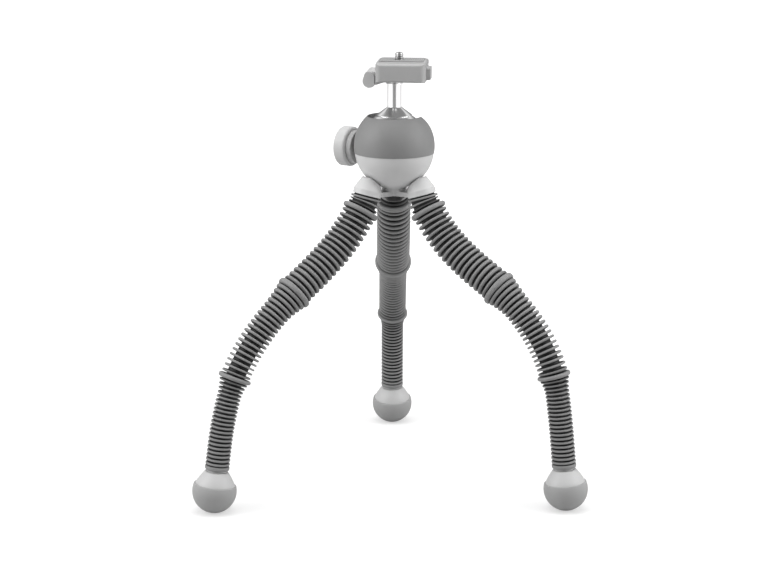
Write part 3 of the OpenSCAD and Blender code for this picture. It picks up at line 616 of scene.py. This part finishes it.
@dataclass
class Foot:
    """A rubber ball with a soft lip round its domed cap, in millimetres."""

    leg: str
    centre: Vector
    upward: Vector
    radius: float = 16.3
    seam: float = 4.4
    lip: float = 0.8
    shelf_r: float = 8.8
    shelf_h: float = 14.4
    neck_r: float = 7.0
    neck_h: float = 16.0
    sides: int = 72
    ball_rings: int = 28
    ball_low: float = -89.0
    cap_inset: float = 1.4
    cap_step: float = 0.1
    dome_rings: int = 13
    dome_power: float = 1.3
    dome_foot: float = 0.4
    shelf_edge: float = 0.3
    shelf_rise: float = 0.45
    neck_edge: float = 0.2

    def pad_rings(self) -> list[tuple[float, float]]:
        """Rings of the ball, up to the lip that folds over its rim.

        Returns:
            Radius and height above the ball's centre of each ring.
        """
        rim = math.sqrt(self.radius ** 2 - self.seam ** 2)
        top = math.degrees(math.asin(self.seam / self.radius))
        rings = []
        for k in range(self.ball_rings):
            angle = math.radians(self.ball_low + (top - self.ball_low) * k / (self.ball_rings - 1))
            rings.append((self.radius * math.cos(angle), self.radius * math.sin(angle)))
        for angle in range(30, 181, 30):
            turn = math.radians(angle)
            along = self.lip * math.cos(turn)
            rings.append((rim - self.lip + along, self.seam + self.lip * math.sin(turn)))
        return rings

    def cap_rings(self) -> list[tuple[float, float]]:
        """Rings of the dome, from inside the lip up to the shelf and neck under the leg.

        Returns:
            Radius and height above the ball's centre of each ring.
        """
        base = math.sqrt(self.radius ** 2 - self.seam ** 2) - self.cap_inset * self.lip
        rings = [(base, self.seam + self.cap_step)]
        for k in range(self.dome_rings):
            share = k / (self.dome_rings - 1)
            rise = (self.shelf_h - self.seam - self.dome_foot) * share
            rings.append((self.shelf_r + (base - self.shelf_r) * (1 - share ** self.dome_power),
                          self.seam + self.dome_foot + rise))
        rings.append((self.shelf_r - self.shelf_edge, self.shelf_h + self.shelf_edge))
        rings.append((self.neck_r + self.neck_edge, self.shelf_h + self.shelf_rise))
        rings.append((self.neck_r, self.neck_h))
        return rings

    def turn(self, part: str, rings: Sequence[tuple[float, float]], look: Look) -> None:
        """Makes one turned piece of the foot, which stands flat on the floor.

        Args:
            part: The end of the node's name.
            rings: Radius and height of each ring, in millimetres.
            look: The piece's finish.
        """
        name = f"{self.leg}_{part}"
        mesh = turned_mesh(f"{name}_form", [(r * MM, h * MM) for r, h in rings], self.sides)
        lean = Vector((0, 0, 1)).rotation_difference(self.upward).to_matrix().to_4x4()
        mesh.transform(Matrix.Translation(self.centre * MM) @ lean)
        for vertex in mesh.vertices:
            vertex.co.z = max(vertex.co.z, 0.0)
        piece = smooth_piece(f"{name}_form", mesh, look)
        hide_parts(name)
        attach(piece, f"{self.leg}_8")
        LOG.info("%s: %d faces", piece.name, len(mesh.polygons))

    def build(self) -> None:
        """Makes the ball and its cap."""
        self.turn("foot_pad", self.pad_rings(), Look.FOOT_PAD)
        self.turn("foot_cap", self.cap_rings(), Look.FOOT_CAP)


@dataclass
class Leg:
    """One flexible leg: its skin along the chain of joints, and its foot."""

    name: str
    tree: Tree
    shoulder_tilt: float = 17.0
    stud_reach: float = 7.0
    ankle_h: float = 16.0
    foot_height: float = 15.8
    sides: int = 48
    keep_off: float = 3.0
    stud_gap: float = 1.0
    first_ring: float = 0.15
    rib_window: float = 3.2
    least_rib: float = 0.1

    def __post_init__(self) -> None:
        """Reads the leg's joints and foot from the frame's record."""
        record = frame["record"]
        hinges = [j for j in record["behaviour"]["joints"] if "pos_m" in j]
        joints = {j["child"]: Vector(j["pos_m"]) / MM for j in hinges}
        chain = [joints[f"{self.name}_{k}"] for k in LINKS]
        foot = next(Vector(m["pos_m"]) / MM for m in record["mounts"] if m["name"] == f"{self.name}_foot")
        foot.z = self.foot_height
        outward = foot - chain[0]
        outward.z = 0.0
        outward.normalize()
        lean = math.radians(self.shoulder_tilt)
        face = chain[0] + self.stud_reach * (Vector((0, 0, math.cos(lean))) - outward * math.sin(lean))
        upward = (chain[-1] - foot).normalized()
        self.foot = Foot(self.name, foot, upward)
        ankle = foot + upward * self.ankle_h
        self.points = [face, *chain, ankle]
        self.spans = [(b - a).length for a, b in zip(self.points, self.points[1:])]
        self.at = [sum(self.spans[:k]) for k in range(len(self.points))]
        self.mid = [(a + b) / 2 for a, b in zip(self.at, self.at[1:])]

    def centre(self, s: float) -> Vector:
        """Point of the smooth centreline at a length from the shoulder.

        Args:
            s: Length along the leg, in millimetres.

        Returns:
            The point, in millimetres.
        """
        k = sum(s > m for m in self.mid)
        if k == 0 or k == len(self.mid):
            j = 0 if k == 0 else k - 1
            return self.points[j].lerp(self.points[j + 1], (s - self.at[j]) / self.spans[j])
        a, b = self.spans[k - 1] / 2, self.spans[k] / 2
        q = s - self.mid[k - 1]
        t = q / (a + math.sqrt(a * a + (b - a) * q))
        first = self.points[k - 1].lerp(self.points[k], 0.5)
        last = self.points[k].lerp(self.points[k + 1], 0.5)
        return first * (1 - t) ** 2 + self.points[k] * (2 * t * (1 - t)) + last * t * t

    def rows(self) -> list[tuple[float, float]]:
        """Every ring of the skin, from the shoulder to the foot.

        Returns:
            Length and radius of each ring, in millimetres.
        """
        first, second, end = self.at[4], self.at[7], self.at[-1]
        runs = [
            RibRun(0.3, 10.6, 3, 11.4, 9.2, 1.6, 1.6),
            Collar(10.6, 14.6, 13.9, 9.2, 1.6),
            RibRun(14.6, first - 2.4, 17, 12.9, 9.15, 2.0, 2.9),
            Collar(first - 2.4, first + 2.0, 14.3, 9.0, 1.6),
            RibRun(first + 2.0, second - 2.7, 19, 11.0, 7.0, 2.6, 1.5, flare=2.2),
            Collar(second - 2.7, second + 0.4, 12.3, 6.8, 1.2),
            RibRun(second + 0.4, end - 3.4, 21, 9.0, 6.4, 1.3, 1.9, flare=1.6, flared=3),
            Collar(end - 3.4, end - 0.1, 9.0, 6.4, 1.0),
        ]
        rows = [row for run in runs for row in run.rows()]
        return [(max(self.first_ring, s), r) for s, r in rows]

    def pieces(self) -> list[tuple[int, list[tuple[float, float]]]]:
        """The rings cut into one run for each joint, at grooves near the middles of the links.

        Returns:
            Joint number, from 1, and the rings of its piece.
        """
        rows = self.rows()
        radii = [r for _, r in rows]
        floor = [i for i in range(1, len(rows) - 1) if radii[i] <= min(radii[i - 1], radii[i + 1])]
        cuts = [0]
        for m in self.mid[1:-1]:
            cuts.append(min(floor, key=lambda i: abs(rows[i][0] - m)))
        cuts.append(len(rows) - 1)
        return [(k + 1, rows[a:b + 1]) for k, (a, b) in enumerate(zip(cuts, cuts[1:]))]

    def path_mesh(self, name: str, rows: Sequence[tuple[float, float]]) -> bpy.types.Mesh:
        """A path of points with each ring's radius and its height on the rib.

        Args:
            name: The mesh's name.
            rows: Length and radius of each ring, in millimetres.

        Returns:
            A mesh of edges only, in metres.
        """
        mesh = bpy.data.meshes.new(name)
        points = [self.centre(s) * MM for s, _ in rows]
        mesh.from_pydata(points, [(k, k + 1) for k in range(len(rows) - 1)], [])
        width = mesh.attributes.new("rib_radius", "FLOAT", "POINT")
        crest = mesh.attributes.new("crest", "FLOAT", "POINT")
        for k, (s, r) in enumerate(rows):
            near = [other for place, other in rows if abs(place - s) < self.rib_window]
            low, high = min(near), max(near)
            width.data[k].value = r * MM
            # the crest share drives the painted shade in the rubber's grooves
            crest.data[k].value = (r - low) / max(self.least_rib, high - low)
        return mesh

    def build(self) -> None:
        """Makes the skin's pieces and finishes the foot."""
        sleeves = {1: ("upper",), 2: ("upper",), 3: ("upper",), 4: ("upper", "middle"), 5: ("middle",),
                   6: ("middle",), 7: ("middle", "lower"), 8: ("lower",)}
        for joint, rows in self.pieces():
            name = f"{self.name}_skin_{joint}"
            path = self.path_mesh(name, rows)
            piece = self.tree.grow(name, path, Sides=self.sides, Material=Look.SKIN.material())
            upper = "hub" if joint == 1 else f"{self.name}_{joint - 1}"
            reach = min(self.spans[joint - 1], self.spans[joint]) / 2 - self.keep_off
            if joint == 1:
                reach = self.spans[0] - self.stud_gap
            here = self.at[joint]
            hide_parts(*(f"{self.name}_{part}_sleeve" for part in sleeves[joint]))
            self.centre(here - reach) * MM
            self.centre(here + reach) * MM
            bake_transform(piece)
            LOG.info("%s: %d faces", name, len(piece.data.polygons))
        for k in LINKS:
            paint(f"{self.name}_link_{k}", Look.LINK)
        self.foot.build()


@dataclass
class Head:
    """The hub, the ball housing, the stem, the knob and the clamp."""

    tree: Tree
    thread_r: float = 3.175
    crest_r: float = 0.36
    pitch: float = 1.27
    thread_depth: float = 1.9
    run_out: float = 0.9
    head_rings: tuple[tuple[float, float], ...] = ((-0.3, 0.0), (0.0, 0.3), (0.0, 1.3), (-0.3, 1.6))
    tip_rings: tuple[tuple[float, float], ...] = ((0.0, -0.7), (-0.2, -0.3), (-0.6, 0.0))
    tip_r: float = 0.2
    sides: int = 48
    arm_t: float = 3.4
    cap_r: float = 6.2
    cap_edge: float = 1.6
    spring_r: float = 2.4
    spring_len: float = 4.6
    spring_turns: float = 4.0
    spring_wire: float = 0.4

    def paint(self) -> None:
        """Gives the CAD nodes of the head their finishes."""
        looks = {
            Look.HUB: ("hub",),
            Look.SHADE_CAP: ("hub_cover",),
            Look.BOWL: ("lower_bowl",),
            Look.HOUSING: ("upper_housing",),
            Look.LINER: ("socket_liner", "brake_shoe"),
            Look.STEM: ("ball_stem",),
            Look.KNOB: ("lock_knob",),
            Look.RING: ("knob_ring",),
            Look.CLAMP: ("clamp_body",),
            Look.LEVER: ("lock_lever",),
            Look.BUTTON: ("release_button",),
            Look.PLATE: ("quick_release_plate",),
            Look.PAD: ("plate_pad",),
            Look.STEEL: ("shoulder_studs", "head_stud", "knob_screw", "clamp_bolt", "lever_pin",
                         "button_spring", "camera_screw"),
        }
        for look, nodes in looks.items():
            for node in nodes:
                paint(node, look)

    def build_screw(self) -> None:
        """Winds the camera screw's thread on its core and puts it in the plate."""
        low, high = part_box("camera_screw")
        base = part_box("plate_pad")[1][2] / MM
        bottom, top = low[2] / MM, high[2] / MM
        head_r = (high[0] - low[0]) / 2 / MM
        core = self.thread_r - self.thread_depth * self.crest_r
        rings = [(head_r + r, bottom + z) for r, z in self.head_rings]
        rings.append((core, rings[-1][1]))
        rings += [(core + r, top + z) for r, z in self.tip_rings]
        rings.append((self.tip_r, top))
        mesh = turned_mesh("camera_screw_body", [(r * MM, (z - base) * MM) for r, z in rings], self.sides)
        length = top - base - self.run_out
        piece = self.tree.grow("threaded_screw", mesh, Radius=(self.thread_r - self.crest_r) * MM,
                               Length=length * MM, Turns=length / self.pitch, Wire=self.crest_r * MM,
                               Material=Look.STEEL.material())
        place = ((low[0] + high[0]) / 2, (low[1] + high[1]) / 2, base * MM)
        piece.data.transform(Matrix.Translation(place))
        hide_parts("camera_screw")
        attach(piece, "screw")
        LOG.info("threaded_screw: %d faces", len(piece.data.polygons))

    def build_cap(self) -> None:
        """Turns the low cap that closes the head's stud from below."""
        low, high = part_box("hub_cover")
        bottom, top = low[2] / MM, high[2] / MM - self.arm_t
        rings = [(self.tip_r, bottom)]
        for angle in range(0, 91, 15):
            turn = math.radians(angle)
            rings.append((self.cap_r - self.cap_edge + self.cap_edge * math.sin(turn),
                          bottom + self.cap_edge - self.cap_edge * math.cos(turn)))
        rings.append((self.cap_r, top))
        mesh = turned_mesh("stud_cap", [(r * MM, z * MM) for r, z in rings], self.sides)
        mesh.transform(Matrix.Translation(((low[0] + high[0]) / 2, (low[1] + high[1]) / 2, 0.0)))
        # the cap's near-black finish is painted shade, so it merges with the shade behind it
        piece = smooth_piece("stud_cap", mesh, Look.SHADE_CAP)
        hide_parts("hub_cover")
        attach(piece, "hub")
        LOG.info("stud_cap: %d faces", len(mesh.polygons))

    def build_spring(self) -> None:
        """Winds the button's spring and sets it in the clamp."""
        joints = frame["record"]["behaviour"]["joints"]
        joint = next(j for j in joints if j["name"] == "button_press")
        inward = Vector(joint["axis"])
        start = bpy.data.meshes.new("spring_start")
        piece = self.tree.grow("wound_spring", start, Radius=self.spring_r * MM,
                               Length=self.spring_len * MM, Turns=self.spring_turns,
                               Wire=self.spring_wire * MM, Material=Look.STEEL.material())
        low, high = (Vector(corner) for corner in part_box("button_spring"))
        foot = (low + high) / 2 + inward * (self.spring_len * MM / 2)
        turned = Vector((0, 0, 1)).rotation_difference(-inward).to_matrix().to_4x4()
        piece.data.transform(Matrix.Translation(foot) @ turned)
        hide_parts("button_spring")
        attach(piece, "clamp")
        whole = (self.spring_len + 2 * self.spring_wire) * MM
        1 - joint["range_m"][1] / whole
        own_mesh(piece)
        LOG.info("wound_spring: %d faces", len(piece.data.polygons))


@dataclass
class Studio:
    """The floor, the lights and the photograph's camera."""

    place: tuple[float, float, float] = (2.84, -1556.4, 502.9)
    pitch: float = 0.2283
    yaw: float = -0.0052
    focal_px: float = 2070.4
    image_width: int = 768
    sensor: float = 36.0
    far_clip: float = 50.0
    aim: tuple[float, float, float] = (0.0, 0.0, 0.18)
    floor_side: float = 8.0
    floor_tone: float = 0.75
    floor_glow: float = 0.75
    glow_start: float = 0.2
    glow_end: float = 0.7
    ceiling: float = 0.64
    fill: float = 0.36
    front_fill: float = 0.12
    front_flag: float = 0.03
    back_flag: float = 0.25
    ceiling_edge: tuple[float, float] = (0.5, 0.9)
    flag_edge: tuple[float, float] = (0.25, 0.6)
    front_edge: tuple[float, float] = (-0.2, 0.9)

    def camera(self) -> None:
        """Sets the camera where the photograph was taken from."""
        data = bpy.data.cameras.new("camera")
        data.sensor_fit = "HORIZONTAL"
        data.sensor_width = self.sensor
        data.lens = self.focal_px / self.image_width * data.sensor_width
        data.clip_end = self.far_clip
        made = bpy.data.objects.new("camera", data)
        made.location = Vector(self.place) * MM
        made.rotation_euler = (math.pi / 2 - self.pitch, 0.0, -self.yaw)
        bpy.context.scene.collection.objects.link(made)
        bpy.context.scene.camera = made

    def floor(self) -> None:
        """Lays a pale floor that keeps the object's shadow."""
        mesh = bpy.data.meshes.new("floor")
        side = self.floor_side
        corners = [(-side, -side, 0), (side, -side, 0), (side, side, 0), (-side, side, 0)]
        mesh.from_pydata(corners, [], [(0, 1, 2, 3)])
        made = new_object("floor", mesh)
        shade = Shade("floor_white")
        path = shade.tree.nodes.new("ShaderNodeLightPath")
        flags = shade.flags(shade.place(), self.front_flag, self.back_flag)
        mirrored = Sock(shade, path.outputs["Is Glossy Ray"])
        seen = Sock(shade, path.outputs["Is Camera Ray"]) + mirrored * flags
        far = shade.node("ShaderNodeVectorMath", {"operation": "LENGTH"}, {0: shade.place()}, out="Value")
        glow = shade.ramp(far, self.glow_start, self.glow_end, linear(self.floor_glow), 1.0)
        shade.surface(Base_Color=grey(self.floor_tone), Roughness=0.9, Emission_Strength=1.0,
                      Emission_Color=shade.blend(seen * glow, BLACK, WHITE))
        made.data.materials.append(shade.material)

    def light(self, name: str, place: tuple[float, float, float], size: tuple[float, float], watts: float,
              mirrored: bool = True) -> None:
        """Hangs one soft box that faces the head.

        Args:
            name: The lamp's name.
            place: Where it hangs, in metres.
            size: Its width and height, in metres.
            watts: Its power.
            mirrored: Whether polished metal shows it.
        """
        data = bpy.data.lights.new(name, "AREA")
        data.shape = "RECTANGLE"
        data.size, data.size_y = size
        data.energy = watts
        made = bpy.data.objects.new(name, data)
        made.location = place
        made.rotation_euler = (Vector(self.aim) - Vector(place)).to_track_quat("-Z", "Y").to_euler()
        made.visible_glossy = mirrored
        bpy.context.scene.collection.objects.link(made)

    def world(self) -> None:
        """Fills the surroundings with white, under a grey ceiling for polished metal."""
        world = bpy.data.worlds.new("studio")
        bpy.context.scene.world = world
        world.use_nodes = True
        sky = Nodes(world.node_tree)
        path = sky.tree.nodes.new("ShaderNodeLightPath")
        seen = Sock(sky, path.outputs["Is Camera Ray"]) + Sock(sky, path.outputs["Is Transmission Ray"])
        mirrored = Sock(sky, path.outputs["Is Glossy Ray"])
        way = sky.node("ShaderNodeTexCoord", out="Generated")
        up = sky.dot(way, (0, 0, 1))
        ahead = sky.dot(way, (0, -1, 0))
        ceiling = sky.ramp(up, *self.ceiling_edge, 1.0, linear(self.ceiling))
        flags = sky.flags(way, self.front_flag, self.back_flag)
        walls = 1 - sky.ramp(up, *self.flag_edge, 1.0, 0.0) * (1 - flags)
        room = sky.ramp(ahead, *self.front_edge, self.fill, self.front_fill)
        level = seen + mirrored * ceiling * walls + (1 - seen - mirrored) * room
        back = sky.node("ShaderNodeBackground", inputs={"Color": WHITE, "Strength": level})
        sky.node("ShaderNodeOutputWorld", inputs={"Surface": back}, out=None)

    def build(self) -> None:
        """Makes the whole studio."""
        bpy.context.scene.view_settings.view_transform = "Standard"
        self.camera()
        self.floor()
        self.world()
        self.light("left_box", (-1.5, -0.5, 1.0), (1.2, 1.6), 18)
        self.light("right_box", (1.5, -0.4, 0.9), (1.2, 1.6), 16)
        self.light("top_box", (0.0, -0.2, 2.0), (1.6, 1.6), 26, mirrored=False)


def main() -> None:
    """Builds the studio, the legs and the head."""
    Studio().build()
    tree = skin_tree()
    for name in ("left", "right", "rear"):
        Leg(name, tree).build()
    head = Head(wound_tree())
    head.paint()
    head.build_screw()
    head.build_cap()
    head.build_spring()


if __name__ == "__main__":
    logging.basicConfig(level=logging.INFO, format="%(message)s")
    main()
